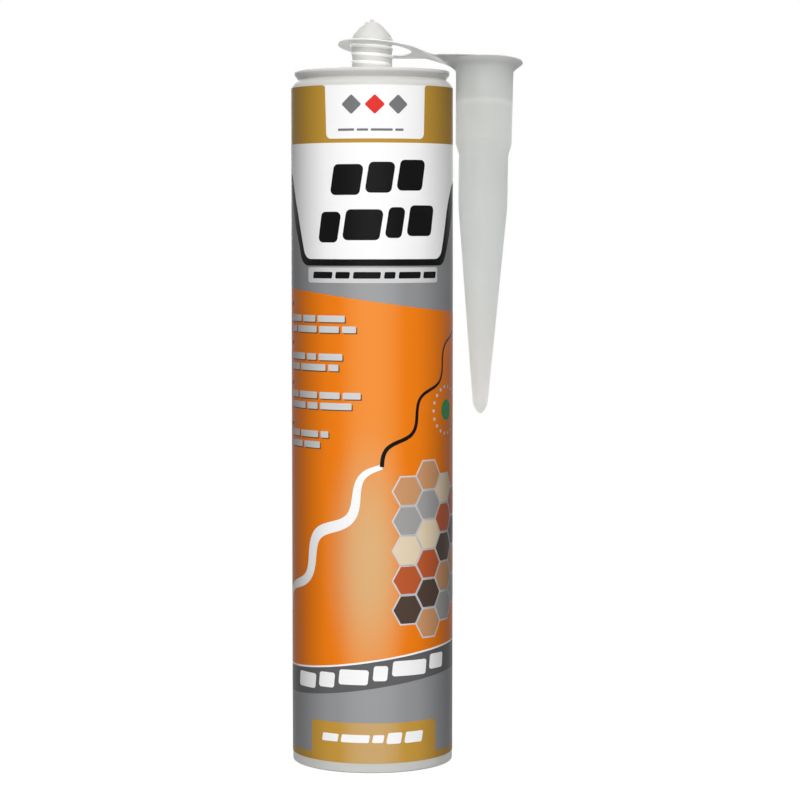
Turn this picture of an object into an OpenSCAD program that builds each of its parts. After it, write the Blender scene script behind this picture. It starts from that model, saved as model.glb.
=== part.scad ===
// Sealant cartridge: a moulded tube with a closed neck, its film label, the piston and the
// paste inside, and the applicator nozzle that hangs beside the tube by its tether ring.
// Frame: the origin is the centre of the open rear rim, and +Z runs along the tube to the neck.

/* [Tube] */
// Outside diameter of the tube
tube_d = 49.5; // [46:0.5:56]
// Thickness of the tube's wall
wall = 1.6; // [1.2:0.1:2.2]
// Length from the rear rim to the top of the head
tube_l = 212.5; // [190:0.5:240]
// Length of the wider lead-in behind the rear rim
lead_l = 10; // [6:0.5:14]
// Step in radius from the bore out to the lead-in
lead_step = 0.4; // [0.2:0.05:0.7]
// Rounding of the rear rim's outer edge
rim_round = 0.5; // [0.2:0.1:0.6]

/* [Head] */
// Thickness of the head plate
head_t = 2.2; // [1.6:0.1:3]
// Height of the bead round the head's edge
bead_h = 2.9; // [2.2:0.1:3.6]
// Distance of the bead inside the tube's outside
bead_inset = 0.9; // [0.5:0.1:1.4]
// Distance of the groove's bottom inside the tube's outside
groove_inset = 2.1; // [1.5:0.1:2.6]
// Height of the rounded shoulder below the groove
shoulder_h = 2.6; // [2:0.1:3.4]
// Height of the slope inside that joins the bore to the head plate
throat_h = 4.6; // [4:0.2:7]

/* [Neck] */
// Diameter of the neck over its thread
neck_d = 12.8; // [11.6:0.2:13.2]
// Height of the threaded part of the neck
neck_l = 9.4; // [8:0.2:14]
// Thickness of the neck's wall
neck_wall = 1.8; // [1.2:0.1:2.4]
// Width of the flare where the neck leaves the head
foot_flare = 0.7; // [0.3:0.1:1.2]
// Height of the closed dome on the neck
dome_h = 4.9; // [4:0.1:7]
// Diameter of the flat on top of the dome
dome_flat_d = 4.2; // [3:0.2:6]
// Diameter of the moulding nib on the dome
nib_d = 1.2; // [0.8:0.1:2]
// Height of the moulding nib
nib_h = 0.9; // [0.4:0.1:1.5]

/* [Label] */
// Thickness of the label film
label_t = 0.15; // [0.08:0.01:0.3]
// Bare tube below the label
label_foot = 3; // [1:0.5:8]
// Bare tube between the label and the groove
label_head = 2.4; // [2:0.2:6]

/* [Piston] */
// Height of the piston's wall
piston_h = 19; // [15:0.5:24]
// Height of the crown that stands above the piston's wall
crown_h = 3.6; // [2.4:0.2:4]
// Distance of the crown inside the bore's wall
crown_inset = 4.4; // [3.4:0.1:8]
// Thickness of the piston's shell
piston_wall = 1.6; // [1.2:0.1:2.2]
// Width of each wiper lip
lip_w = 2.2; // [1.4:0.1:3]
// Depth of the waist between the two wiper lips
lip_relief = 0.7; // [0.3:0.1:1]
// Number of ribs behind the crown
rib_count = 8; // [4:1:12]
// Thickness of a rib
rib_t = 1.2; // [0.8:0.1:1.8]
// Distance from the piston's rear edge to the ribs
rib_set = 5; // [2:0.5:7]
// Diameter of the hub that the ribs meet
hub_d = 13; // [9:0.5:18]

/* [Filling] */
// Height of the paste column between the piston and the head plate
paste_h = 162; // [120:1:164]

/* [Nozzle] */
// Length of the nozzle from its flange to its tip
nozzle_l = 108.2; // [90:0.2:125]
// Diameter of the skirt round the threaded socket
skirt_d = 17.6; // [16.6:0.2:20]
// Length of the skirt
skirt_l = 25.5; // [22:0.5:34]
// Draft of the skirt in radius over its length
skirt_draft = 0.25; // [0:0.05:0.4]
// Clearance in radius of the socket over the neck's thread
socket_gap = 0.35; // [0.2:0.05:0.5]
// Depth of the threaded socket
socket_l = 13; // [10:0.5:16]
// Length of the slope from the skirt to the spout
slope_l = 3.4; // [2:0.2:6]
// Diameter of the spout below the slope
spout_d = 15.1; // [14.2:0.1:16.4]
// Length of the straight part of the spout
straight_l = 16; // [8:0.5:22]
// Diameter of the spout where its rounded tip begins
tip_d = 4.7; // [3.8:0.1:6]
// Length of the rounded tip
tip_l = 4.4; // [2:0.2:7]
// Thickness of the spout's wall
spout_wall = 1.25; // [0.9:0.05:1.5]

/* [Flange] */
// Diameter of the flange round the socket's mouth
flange_d = 23.3; // [21:0.1:25]
// Thickness of the flange at its edge
flange_t = 0.5; // [0.3:0.05:0.8]
// Height of the cone under the flange
flange_cone_h = 1.7; // [1:0.1:2.6]

/* [Tether] */
// Diameter of the hole in the tether ring
ring_hole_d = 18.8; // [17.6:0.2:20]
// Width of the ring's band
ring_band = 3.8; // [2.6:0.1:4.6]
// Thickness of the ring and strap
strap_t = 0.45; // [0.35:0.05:1]
// Width of the strap at its waist
waist_w = 15; // [11:0.5:18]
// Distance from the ring's edge to the waist
waist_set = 0.6; // [0.2:0.1:3]
// Width of the strap where it meets the flange
tongue_w = 21.6; // [16:0.2:23]
// Length that the wide end of the strap stands out from the flange
tongue_l = 2.4; // [1:0.1:4]
// Clearance between the ring and the neck where it hooks on
hook_gap = 0.35; // [0.2:0.05:0.6]
// Height of the ring's centre above the head
ring_lift = 7; // [5.4:0.1:8]
// Slope of the ring down towards the nozzle
ring_slope = 5.5; // [3:0.1:8]
// Slant of the bend that lowers the strap to the flange
bend_turn = 22; // [0:1:30]
// Drop from the ring's centre to the flange
flange_drop = 3.5; // [2.8:0.1:4.4]
// Clearance between the hanging skirt and the label
hang_gap = 0.85; // [0.5:0.05:2]
// Forward swing of the hanging nozzle
hang_tilt = 9.3; // [6:0.1:13]
// Lean of the hanging nozzle towards the tube
hang_lean = 1; // [0:0.05:1.4]

/* [Hidden] */
$fn = 96;

skin_gap = 0.03; // glue line under the label
wipe_gap = 0.05; // running clearance of the wiper lips in the bore
fill_gap = 0.05; // clearance of the paste to the walls round it
cut = 1;         // how far a cutting solid runs past the face it opens
arc_steps = 6;   // straight stretches that stand in for a rounded edge

tube_r = tube_d / 2;
bore_r = tube_r - wall;
lead_r = bore_r + lead_step;
lead_slope = lead_step; // height of the 45 degree step between lead-in and bore
bead_r = tube_r - bead_inset;
groove_r = tube_r - groove_inset;
groove_z = tube_l - bead_h;
shoulder_z = groove_z - shoulder_h;
bead_round = 0.8;
roof_z = tube_l - head_t;
throat_z = roof_z - throat_h;
throat_r = groove_r - wall; // keeps a full wall behind the groove

neck_r = neck_d / 2;
channel_r = neck_r - neck_wall;
neck_top_z = tube_l + neck_l;
dome_step = 0.6; // small shoulder that sets the dome in from the thread
dome_top_z = neck_top_z + dome_step + dome_h;
dome_mid = [0.84, 0.42]; // the dome's bulge, as shares of its foot radius and its height

label_in_r = tube_r + skin_gap;
label_out_r = label_in_r + label_t;
label_z0 = label_foot;
label_z1 = groove_z - label_head;

piston_r = bore_r - wipe_gap;
waist_r = piston_r - lip_relief;
crown_r = bore_r - crown_inset;
lip_slope = 0.8; // height of the slope on each side of a lip
paste_z = roof_z - paste_h;
piston_top_z = paste_z - fill_gap;
piston_z = piston_top_z - crown_h - piston_h;
deck_z = piston_h - piston_wall; // underside of the piston's outer deck
crown_inner_z = piston_h + crown_h - piston_wall;

skirt_r = skirt_d / 2;
socket_r = neck_r + socket_gap;
mouth_flare = 0.5; // chamfer at the socket's mouth
seat_slope = 0.8;  // height of the step at the socket's end, where the neck's shoulder stops
spout_r = spout_d / 2;
tip_r = tip_d / 2;
flange_r = flange_d / 2;
slope_z = -(skirt_l + slope_l);
cone_z = slope_z - straight_l;
tip_z = -(nozzle_l - tip_l);
cone_gap = 0.1; // the straight part of the spout loses this much radius, so that it leaves the mould
cavity_tip_r = tip_r - spout_wall * 0.8;

ring_hole_r = ring_hole_d / 2;
ring_r = ring_hole_r + ring_band;
ring_x = ring_hole_r - neck_r - hook_gap;
ring_z = tube_l + ring_lift;
flange_x = label_out_r + hang_gap + skirt_r;
flange_left = flange_x - flange_r;
waist_x = ring_x + ring_r + waist_set;
tongue_x = flange_left - tongue_l;
tuck = 0.3;  // how far inside the flange's edge the strap's sides end
seam = 0.03; // how far inside the ring's edge they start
// Along the bend's own direction, which is turned from X by bend_turn:
ring_run = ring_x * cos(bend_turn);                        // the ring's centre
bend_run = ring_run + ring_hole_r + 2.1;                   // the strap bends from here
flat_run = flange_x * cos(bend_turn) - flange_r + 2;       // and lies in the flange's plane from here
bend_steps = 8;

// Points of an arc round c, from angle a0 to a1
function arc(c, r, a0, a1) =
    [for (i = [0:arc_steps]) let (a = a0 + (a1 - a0) * i / arc_steps) c + r * [cos(a), sin(a)]];

// Point where a line from p touches the circle of radius r round [cx, 0]
function touch(cx, r, p, turn) =
    let (v = [p[0] - cx, p[1]], a = atan2(v[1], v[0]) + turn * acos(r / norm(v)))
    [cx + r * cos(a), r * sin(a)];

// Point of a cubic curve at share t
function cubic(p, t) =
    pow(1 - t, 3) * p[0] + 3 * t * pow(1 - t, 2) * p[1]
    + 3 * t * t * (1 - t) * p[2] + pow(t, 3) * p[3];

function mirrored(points) = [for (p = points) [p[0], -p[1]]];

// Inside of the closed dome, which both the neck and the paste follow
function dome_inside(gap) = [
    [channel_r - gap, neck_top_z],
    [dome_flat_d / 4, dome_top_z - neck_wall - gap],
    [0, dome_top_z - neck_wall - gap]
];

// One moulding: tube, head plate, beaded shoulder, neck and closed dome
module barrel() {
    outside = concat(
        [[lead_r, 0]],
        arc([tube_r - rim_round, rim_round], rim_round, -90, 0),
        arc([tube_r - shoulder_h, shoulder_z], shoulder_h, 0, 62),
        [[groove_r, groove_z - 0.25], [groove_r, groove_z + 0.15]],
        arc([bead_r - bead_round, tube_l - bead_round], bead_round, 0, 90),
        [[neck_r + foot_flare, tube_l]],
        [[neck_r, tube_l + foot_flare], [neck_r, neck_top_z]],
        [[neck_r - dome_step, neck_top_z + dome_step]],
        [[dome_mid[0] * (neck_r - dome_step), neck_top_z + dome_step + dome_mid[1] * dome_h]],
        [[dome_flat_d / 2, dome_top_z], [nib_d / 2, dome_top_z]],
        [[nib_d / 2, dome_top_z + nib_h], [0, dome_top_z + nib_h]]
    );
    inside = concat(
        [[lead_r, lead_l], [bore_r, lead_l + lead_slope], [bore_r, throat_z]],
        [[throat_r, roof_z - 0.6], [throat_r - 0.6, roof_z]],
        [[channel_r + 0.5, roof_z], [channel_r, roof_z + 0.5]],
        dome_inside(0)
    );
    color([0.95, 0.95, 0.94])
    rotate_extrude()
        polygon(concat(outside, [for (i = [len(inside) - 1:-1:0]) inside[i]]));
}

// Printed film round the tube
module label() {
    color([0.93, 0.5, 0.16])
    translate([0, 0, label_z0])
    difference() {
        cylinder(r = label_out_r, h = label_z1 - label_z0);
        translate([0, 0, -cut]) cylinder(r = label_in_r, h = label_z1 - label_z0 + 2 * cut);
    }
}

// Shell of the piston: a crowned cup, open to the rear, with a wiper lip at each end
module piston_shell() {
    lip_top = piston_h - 0.8;
    rotate_extrude()
        polygon([
            [piston_r - 0.9, 0],
            [piston_r, 0.9],
            [piston_r, 0.9 + lip_w],
            [waist_r, 0.9 + lip_w + lip_slope],
            [waist_r, lip_top - lip_w - lip_slope],
            [piston_r, lip_top - lip_w],
            [piston_r, lip_top],
            [piston_r - 0.8, piston_h],
            [crown_r + 1, piston_h],
            [crown_r, piston_h + 1],
            [crown_r - 1.2, piston_h + crown_h],
            [0, piston_h + crown_h],
            [0, crown_inner_z],
            [crown_r - piston_wall - 1, crown_inner_z],
            [crown_r - piston_wall, deck_z],
            [waist_r - piston_wall, deck_z - 1],
            [waist_r - piston_wall, 2.5],
            [waist_r - piston_wall + 0.3, 0]
        ]);
}

// Side profile of one rib: its edges end inside the shell and the hub, so that they join
module rib_profile() {
    inner = hub_d / 2 - rib_t / 2;
    outer = waist_r - piston_wall / 2;
    deck = piston_h - piston_wall / 2;
    roof = crown_inner_z + piston_wall * 0.4;
    polygon([
        [inner, rib_set],
        [outer, rib_set],
        [outer, deck],
        [crown_r - piston_wall / 2, deck],
        [crown_r - piston_wall / 2 - 1, roof],
        [inner, roof]
    ]);
}

module piston() {
    hub_top = crown_inner_z + piston_wall * 0.3;
    color([0.86, 0.87, 0.88])
    translate([0, 0, piston_z]) {
        piston_shell();
        translate([0, 0, rib_set])
        difference() {
            cylinder(d = hub_d, h = hub_top - rib_set);
            translate([0, 0, -cut])
                cylinder(d = hub_d - 2 * rib_t, h = crown_inner_z + piston_wall * 0.2 - rib_set + cut);
        }
        for (i = [0:rib_count - 1])
            rotate([90, 0, i * 360 / rib_count])
                linear_extrude(height = rib_t, center = true) rib_profile();
    }
}

// The paste fills everything between the piston's crown and the closed dome
module sealant() {
    r = bore_r - fill_gap;
    bottom = piston_top_z - crown_h;
    color([0.93, 0.92, 0.9])
    rotate_extrude()
        polygon(concat(
            [[0, paste_z], [crown_r - 1.2 + fill_gap, paste_z]],
            [[crown_r + fill_gap, bottom + 1 + fill_gap], [crown_r + 1 + fill_gap, bottom + fill_gap]],
            [[piston_r - 0.8, bottom + fill_gap], [r, bottom + fill_gap]],
            [[r, throat_z - fill_gap]],
            [[throat_r - fill_gap, roof_z - 0.6 - fill_gap], [throat_r - 0.6, roof_z - fill_gap]],
            [[channel_r + 0.5 - fill_gap, roof_z - fill_gap], [channel_r - fill_gap, roof_z + 0.5]],
            dome_inside(fill_gap)
        ));
}

// Nozzle by itself, its axis on Z: the socket's mouth is at z = 0 and the tip points down
module applicator() {
    tip = [for (i = [0:arc_steps]) let (a = 90 * i / arc_steps)
        [tip_r * pow(cos(a), 1.5), tip_z - tip_l * sin(a)]];
    outside = concat(
        [[socket_r + mouth_flare, 0], [flange_r, 0], [flange_r, -flange_t]],
        [[(flange_r + skirt_r) / 2, -flange_t - flange_cone_h * 0.62]],
        [[skirt_r, -flange_t - flange_cone_h - 0.4]],
        [[skirt_r - skirt_draft, -skirt_l]],
        [[spout_r, slope_z], [spout_r - cone_gap, cone_z]],
        tip
    );
    inside = [
        [0, tip_z + spout_wall],
        [cavity_tip_r, tip_z + spout_wall],
        [spout_r - cone_gap - spout_wall, cone_z],
        [spout_r - spout_wall, slope_z],
        [spout_r - spout_wall + 0.1, -socket_l - seat_slope],
        [socket_r, -socket_l],
        [socket_r, -mouth_flare]
    ];
    rotate_extrude() polygon(concat(outside, inside));
}

// Plan of the ring and strap, seen along Z
module tether_plan() {
    waist = [waist_x, waist_w / 2];
    side = [
        touch(ring_x, ring_r - seam, waist, 1),
        waist,
        [tongue_x, tongue_w / 2],
        [flange_x, flange_r - tuck]
    ];
    difference() {
        union() {
            translate([ring_x, 0]) circle(r = ring_r);
            polygon(concat([[ring_x, 0]], mirrored(side), [for (i = [len(side) - 1:-1:0]) side[i]]));
        }
        translate([ring_x, 0]) circle(r = ring_hole_r);
        translate([flange_x, 0]) circle(r = skirt_r);
    }
}

// Side profile of the ring and strap: straight through the ring, one soft bend, then flat in the flange
module tether_profile() {
    bend_z = -(bend_run - ring_run) * tan(ring_slope);
    flat_z = -flange_drop - flange_t / 2; // the thinner strap ends inside the flange's edge
    pull = (flat_run - bend_run) * 0.45;
    bend = [
        [bend_run, bend_z],
        [bend_run + pull, bend_z - pull * tan(ring_slope)],
        [flat_run - pull, flat_z],
        [flat_run, flat_z]
    ];
    start = ring_run - ring_r - cut;
    middle = concat(
        [[start, (ring_run - start) * tan(ring_slope)]],
        [for (i = [0:bend_steps]) cubic(bend, i / bend_steps)],
        [[flange_x + flange_r, flat_z]]
    );
    polygon(concat(
        [for (p = middle) p + [0, strap_t / 2]],
        [for (i = [len(middle) - 1:-1:0]) middle[i] - [0, strap_t / 2]]
    ));
}

module tether() {
    intersection() {
        linear_extrude(height = 4 * flange_drop, center = true) tether_plan();
        rotate([0, 0, -bend_turn]) rotate([90, 0, 0])
            linear_extrude(height = 2 * (flange_x + flange_r), center = true) tether_profile();
    }
}

// One moulding: tether ring, strap, flange, threaded socket and closed spout, as it hangs
module nozzle() {
    color([0.8, 0.82, 0.81])
    translate([0, 0, ring_z])
    rotate([-hang_tilt, hang_lean, 0]) {
        tether();
        translate([flange_x, 0, -flange_drop]) applicator();
    }
}

barrel();
label();
piston();
sealant();
nozzle();
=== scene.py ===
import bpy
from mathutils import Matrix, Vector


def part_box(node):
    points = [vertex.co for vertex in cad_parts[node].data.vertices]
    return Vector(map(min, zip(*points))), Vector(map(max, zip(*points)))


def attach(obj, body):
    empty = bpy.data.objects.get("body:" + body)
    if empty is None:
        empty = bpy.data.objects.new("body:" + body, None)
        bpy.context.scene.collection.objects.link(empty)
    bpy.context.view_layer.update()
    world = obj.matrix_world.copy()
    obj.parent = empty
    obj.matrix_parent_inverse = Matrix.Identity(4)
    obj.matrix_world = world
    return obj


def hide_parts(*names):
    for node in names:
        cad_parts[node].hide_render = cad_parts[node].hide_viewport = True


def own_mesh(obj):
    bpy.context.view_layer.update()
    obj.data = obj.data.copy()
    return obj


bl_info = {
    "name": "Sealant cartridge",
    "version": (1, 0, 0),
    "blender": (4, 5, 0),
    "location": "View3D > Sidebar > Cartridge",
    "description": "Dresses the solids of a sealant cartridge: tube, printed film, piston, paste and tethered nozzle",
    "category": "Object",
}

import math

import bmesh
import bpy
from bpy.props import FloatProperty, FloatVectorProperty, PointerProperty
from mathutils import Matrix, Vector
from mathutils.geometry import tessellate_polygon

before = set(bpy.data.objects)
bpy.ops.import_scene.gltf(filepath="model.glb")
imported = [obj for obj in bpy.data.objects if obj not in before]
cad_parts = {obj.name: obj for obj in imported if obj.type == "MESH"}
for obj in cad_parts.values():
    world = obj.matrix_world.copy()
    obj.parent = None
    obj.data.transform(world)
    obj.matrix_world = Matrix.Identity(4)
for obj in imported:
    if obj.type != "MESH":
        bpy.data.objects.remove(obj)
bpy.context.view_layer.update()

MM = 0.001
TUBE_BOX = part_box("barrel")
LABEL_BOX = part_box("label")
TURN_STEPS = 144            # facets round the film; every ink is cut at the same angles
FILM_T = 0.15               # thickness of the printed film, mm
INK_T = 0.016               # thickness of one layer of ink, mm
INK_LAYERS = 5
PAINTED_SHADE_FROM, PAINTED_SHADE_TO = 0.33, 0.83         # where painted shade darkens the ink towards the sides, as shares of the film's radius
HIGHLIGHT_FROM, HIGHLIGHT_TO = 0.9, 1.01      # where a painted highlight lightens the ink at the front and the back
GLOW_PLACE = (-0.001, -LABEL_BOX[1].x, 0.0647)      # middle of the pale glow in the main field, m
GLOW_HALF = (0.0125, 0.05, 0.036)
THROAT_IN, TAPER_H = 1.6, 4.6           # the bore narrows below the head: to the groove less this, over this height


def rgb(red, green, blue):
    """A colour written as 0 to 255, as the 0 to 1 values of a colour property."""
    return (red / 255, green / 255, blue / 255)


def linear(tone):
    """Scene-linear RGBA of an sRGB colour in 0 to 1."""
    channels = [c / 12.92 if c <= 0.04045 else ((c + 0.055) / 1.055) ** 2.4 for c in tone]
    return (*channels, 1.0)


def length(name, description, default):
    return FloatProperty(name=name, description=description, default=default * MM, unit="LENGTH", precision=5)


def angle(name, description, default):
    return FloatProperty(name=name, description=description, default=default, subtype="ANGLE")


def number(name, description, default):
    return FloatProperty(name=name, description=description, default=default, min=0)


def colour(name, description, default):
    return FloatVectorProperty(
        name=name, description=description, default=default, size=3, min=0, max=1, subtype="COLOR_GAMMA"
    )


class TubeSettings(bpy.types.PropertyGroup):
    """Sizes of the moulded tube, its head and its neck."""

    radius: length("Tube radius", "Outside radius of the tube", TUBE_BOX[1].x / MM)
    bore: length("Bore radius", "Inside radius of the tube", 23.15)
    lead_bore: length("Lead-in radius", "Inside radius behind the rear rim", 23.55)
    lead: length("Lead-in length", "Length of the wider lead-in", 10)
    head: length("Head height", "Height of the head's top face", 212.5)
    head_wall: length("Head thickness", "Thickness of the head plate", 2.2)
    bead: length("Bead height", "Height of the bead round the head", 2.9)
    bead_radius: length("Bead radius", "Outside radius of the bead", 23.85)
    groove_radius: length("Groove radius", "Radius at the bottom of the groove", 22.65)
    shoulder: length("Shoulder height", "Height of the rounded shoulder", 2.6)
    neck: length("Neck radius", "Radius of the neck between its threads", 6.2)
    thread: length("Thread radius", "Radius over the crest of the thread", 6.5)
    thread_rib: length("Thread rib", "Radius of the rounded thread rib", 0.62)
    pitch: length("Thread pitch", "Rise of the thread in one turn", 2.5)
    thread_turns: number("Thread turns", "Turns of thread on the neck", 2.7)
    neck_top: length("Neck top", "Height where the neck's thread ends", 221.9)
    dome_top: length("Dome top", "Height of the closed dome's flat", 227.4)
    channel: length("Channel radius", "Inside radius of the neck", 4.6)
    nib: length("Nib radius", "Radius of the moulding nib", 0.6)
    plastic: colour("Tube plastic", "Colour of the moulded tube", rgb(211, 210, 207))


class NozzleSettings(bpy.types.PropertyGroup):
    """Sizes of the hanging nozzle, its flange and its tether."""

    ring_z: length("Ring height", "Height of the tether ring's centre", 219.5)
    ring_x: length("Ring offset", "Offset of the ring from the tube's axis", 2.65)
    ring_hole: length("Ring hole", "Radius of the hole in the ring", 9.4)
    ring: length("Ring radius", "Outside radius of the ring", 13.2)
    strap: length("Strap thickness", "Thickness of the ring and strap", 0.45)
    waist: length("Strap waist", "Half width of the strap at its waist", 7.5)
    waist_x: length("Waist offset", "Distance of the waist from the ring's axis", 16.45)
    tongue: length("Tongue", "Half width of the strap where it meets the flange", 10.8)
    tongue_x: length("Tongue offset", "Distance from the ring's axis to the strap's wide end", 20.53)
    bend_turn: angle("Bend slant", "Slant of the bend across the strap", math.radians(22))
    ring_slope: angle("Ring slope", "Fall of the ring towards the nozzle", math.radians(5.5))
    tilt: angle("Forward swing", "Forward swing of the nozzle", math.radians(9.3))
    lean: angle("Lean", "Lean of the nozzle to the tube", math.radians(1))
    drop: length("Flange drop", "Drop from the ring's centre to the flange", 3.5)
    mouth_x: length("Mouth offset", "Distance of the nozzle's mouth from the ring's axis", 34.58)
    flange: length("Flange radius", "Radius of the flange", 11.65)
    flange_t: length("Flange thickness", "Thickness of the flange's edge", 0.5)
    skirt: length("Skirt radius", "Radius of the skirt", 8.8)
    skirt_l: length("Skirt length", "Length of the skirt", 25.5)
    socket: length("Socket radius", "Inside radius of the socket", 6.75)
    socket_l: length("Socket depth", "Depth of the socket", 13)
    spout: length("Spout radius", "Radius of the spout below the skirt", 7.55)
    straight_l: length("Straight length", "Length of the spout's straight part", 16)
    tip: length("Tip radius", "Radius where the rounded tip begins", 2.35)
    total: length("Nozzle length", "Length from mouth to tip", 108.2)
    wall: length("Spout wall", "Thickness of the spout's wall", 1.25)
    plastic: colour("Nozzle plastic", "Colour of the translucent nozzle", rgb(242, 243, 242))


class LabelSettings(bpy.types.PropertyGroup):
    """Sizes and inks of the printed film."""

    gold: colour("Gold", "Gold bands", rgb(192, 148, 58))
    plaque_gold: colour("Plaque gold", "Lighter gold of the lower plaque", rgb(198, 152, 64))
    grey: colour("Grey", "Grey field behind the title panel", rgb(147, 148, 150))
    low_grey: colour("Lower grey", "Grey field below the ribbon", rgb(149, 150, 152))
    orange: colour("Orange", "Main field", rgb(243, 128, 22))
    glow: colour("Glow", "Pale glow in the main field", rgb(219, 168, 118))
    black: colour("Black", "Title blocks and panel outline", rgb(16, 15, 16))
    ribbon: colour("Ribbon", "Dark ribbon", rgb(98, 98, 100))
    white: colour("White", "White panel and words", rgb(252, 252, 252))
    words: colour("Grey words", "Small grey lines", rgb(120, 120, 122))
    green: colour("Green", "Green seal", rgb(40, 140, 75))


class StageSettings(bpy.types.PropertyGroup):
    """Camera and light."""

    camera_x: length("Camera X", "Camera place along X", 3.67)
    camera_y: length("Camera Y", "Camera place along Y", -800)
    camera_z: length("Camera Z", "Camera height", 164.2)
    pitch: angle("Pitch", "How far the camera looks down", 0.0657)
    yaw: angle("Yaw", "How far the camera looks right", 0.0061)
    lens: number("Lens", "Focal length in millimetres", 116.7)
    world: number("World", "Strength of the even light", 0.06)
    key: number("Key", "Share of the light from the front", 1.01)
    top: number("Top", "Share of the light from above", 0.42)
    rear: number("Rear", "Share of the light from behind", 0.6)


def settings(name):
    return getattr(bpy.context.scene, "cartridge_" + name)


def mm(group, name):
    """A length property in millimetres."""
    return getattr(group, name) / MM


def sizes(group, *names):
    """Several length properties in millimetres."""
    return [mm(group, name) for name in names]


# Shapes

def softened(corners, steps=5):
    """Closed outline of (x, y, radius) corners, each rounded by an arc of its radius."""
    points = []
    for i, (x, y, radius) in enumerate(corners):
        corner = Vector((x, y))
        if radius == 0:
            points.append(corner)
            continue
        before = Vector(corners[i - 1][:2]) - corner
        after = Vector(corners[(i + 1) % len(corners)][:2]) - corner
        a, b = before.normalized(), after.normalized()
        half = a.angle(b) / 2
        reach = min(radius / math.tan(half), before.length * 0.49, after.length * 0.49)
        centre = corner + (a + b).normalized() * (reach / math.cos(half))
        start, end = corner + a * reach - centre, corner + b * reach - centre
        turn = math.atan2(start.x * end.y - start.y * end.x, start.dot(end))
        for k in range(steps + 1):
            points.append(centre + Matrix.Rotation(turn * k / steps, 2) @ start)
    return points


def arc(x, y, radius, a0, a1, steps=8):
    """Points of an arc, its angles in degrees."""
    angles = [math.radians(a0 + (a1 - a0) * k / steps) for k in range(steps + 1)]
    return [Vector((x + radius * math.cos(a), y + radius * math.sin(a))) for a in angles]


def revolved(profile, segments):
    """Vertices and faces of a closed (r, z) profile turned round Z, in millimetres."""
    verts, rows, faces = [], [], []
    for r, z in profile:
        if abs(r) < 1e-6:
            rows.append([len(verts)] * segments)
            verts.append((0, 0, z))
            continue
        rows.append(list(range(len(verts), len(verts) + segments)))
        for k in range(segments):
            a = math.tau * k / segments
            verts.append((r * math.cos(a), r * math.sin(a), z))
    for i, row in enumerate(rows):
        after = rows[(i + 1) % len(rows)]
        if row[0] == row[1] and after[0] == after[1]:
            continue
        for k in range(segments):
            n = (k + 1) % segments
            corners = [row[k], row[n], after[n], after[k]]
            faces.append(list(dict.fromkeys(corners)))
    return verts, faces


def round_points(x, z, radius, count):
    """Points of a full circle, the first one on its right."""
    turns = [math.tau * k / count for k in range(count)]
    return [(x + radius * math.cos(a), z + radius * math.sin(a)) for a in turns]


def placed(name, data):
    """A new object of the scene that holds the data."""
    obj = bpy.data.objects.new(name, data)
    bpy.context.scene.collection.objects.link(obj)
    return obj


def fill(mesh, bm):
    """Puts a bmesh into a mesh, its faces turned outwards."""
    bmesh.ops.recalc_face_normals(bm, faces=bm.faces)
    bm.to_mesh(mesh)
    bm.free()
    return mesh


def mesh_object(name, verts, faces, matrix=Matrix.Identity(4)):
    """A closed mesh in metres, its faces turned outwards, from millimetres."""
    mesh = bpy.data.meshes.new(name)
    mesh.from_pydata([matrix @ Vector(v) * MM for v in verts], [], faces)
    bm = bmesh.new()
    bm.from_mesh(mesh)
    bmesh.ops.remove_doubles(bm, verts=bm.verts, dist=1e-8)
    return placed(name, fill(mesh, bm))


def thick_sheet(shapes, along, step, near):
    """Flat sheet of shapes, each a list of loops, cut at every step along a direction and given a second face.

    Returns its bmesh and the vertices of the second face.
    """
    bm = bmesh.new()
    for loops in shapes:
        corners = [bm.verts.new(p) for loop in loops for p in loop]
        for triangle in tessellate_polygon(loops):
            bm.faces.new([corners[i] for i in triangle])
    runs = [v.co.dot(along) / step for v in bm.verts]
    for k in range(math.ceil(min(runs) + 1e-6), math.floor(max(runs) - 1e-6) + 1):
        geometry = bm.verts[:] + bm.edges[:] + bm.faces[:]
        bmesh.ops.bisect_plane(bm, geom=geometry, dist=near, plane_co=along * (k * step), plane_no=along)
    raised = bmesh.ops.extrude_face_region(bm, geom=bm.faces[:])["geom"]
    return bm, [v for v in raised if isinstance(v, bmesh.types.BMVert)]


def dress(obj, material, body, slot, *nodes, sharp=32):
    """Gives a finished piece its shading, material and body, and hides the nodes it stands for; the slot is not used.
    """
    obj.data.shade_smooth()
    obj.data.set_sharp_from_angle(angle=math.radians(sharp))
    obj.data.materials.clear()
    obj.data.materials.append(material)
    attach(obj, body)
    if nodes:
        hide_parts(*nodes)
    return obj


def plain_mesh(obj):
    """Turns an object's modifiers into a plain mesh."""
    bpy.context.view_layer.update()
    evaluated = obj.evaluated_get(bpy.context.evaluated_depsgraph_get())
    mesh = bpy.data.meshes.new_from_object(evaluated)
    obj.modifiers.clear()
    obj.data = mesh


# Materials

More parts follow.
